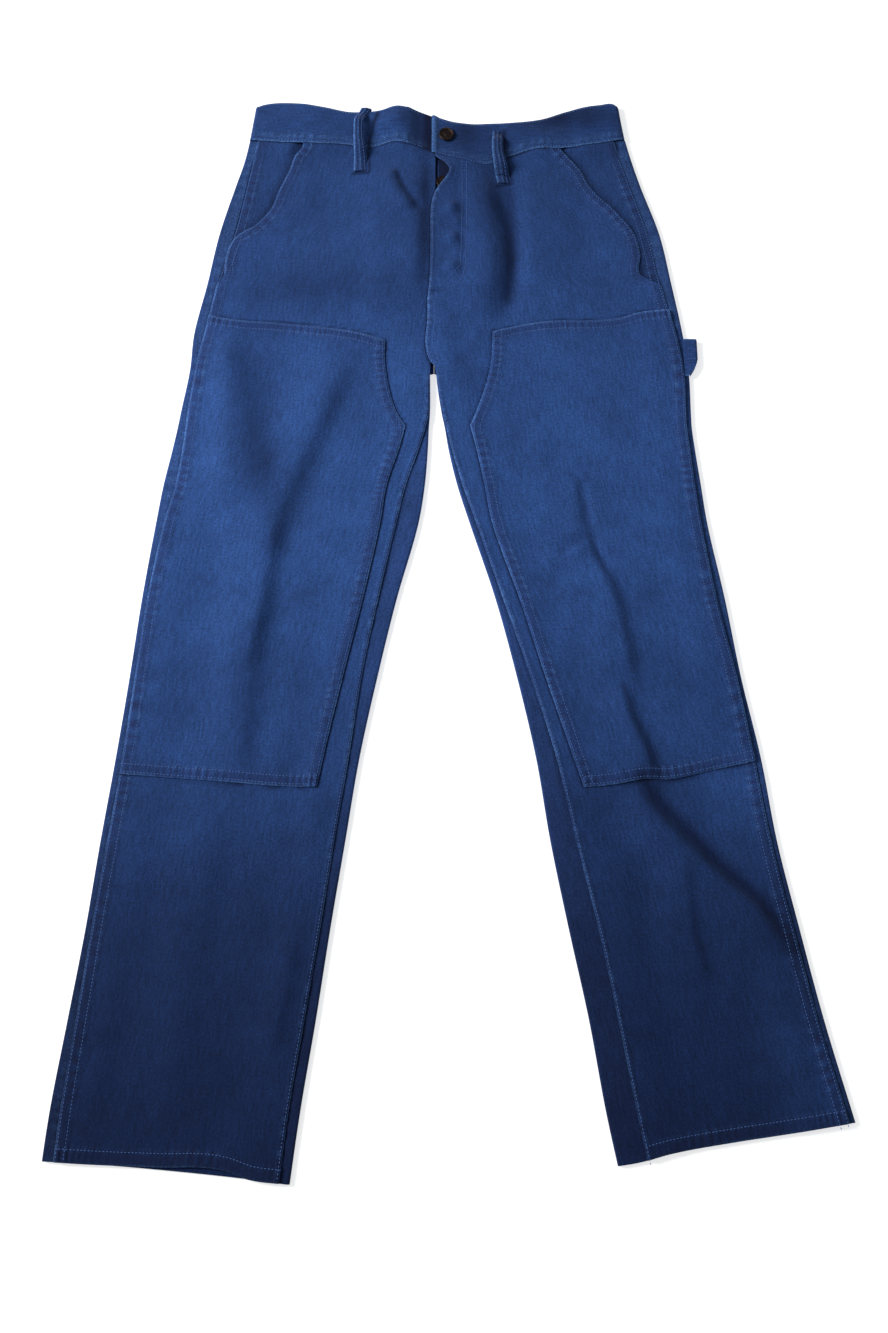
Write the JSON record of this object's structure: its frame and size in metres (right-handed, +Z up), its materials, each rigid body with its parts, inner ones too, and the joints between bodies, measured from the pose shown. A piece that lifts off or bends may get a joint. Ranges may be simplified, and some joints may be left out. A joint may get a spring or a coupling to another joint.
{
  "type": "carpenter pants",
  "caption": "Double-knee carpenter pants in blue twill, laid flat front up, with scooped pockets, hammer loop, belt loops and open button fly.",
  "frame": {"origin": "on the surface the pants lie on, under the middle of their footprint", "axes": "+X towards the wearer's left, +Y from the hems to the waist, +Z up from the surface through the front"},
  "size_m": [0.7162, 1.1128, 0.0147],
  "materials": {
    "twill": "garment-dyed cotton twill, matt, with paler worn seams",
    "twill_shade": "the same twill where it is covered and unworn",
    "copper": "dark patinated copper, satin"
  },
  "bodies": {
    "root": {"back_right": "twill", "back_left": "twill", "front_right": "twill", "front_left": "twill", "knee_patch_right": "twill", "knee_patch_left": "twill", "waistband": "twill", "belt_loop_right": "twill", "belt_loop_left": "twill", "hammer_loop": "twill", "pocket_facing_right": "twill_shade", "pocket_facing_left": "twill_shade", "fly_underlap": "twill_shade", "waist_button": "copper", "fly_button": "copper"}
  },
  "joints": []
}
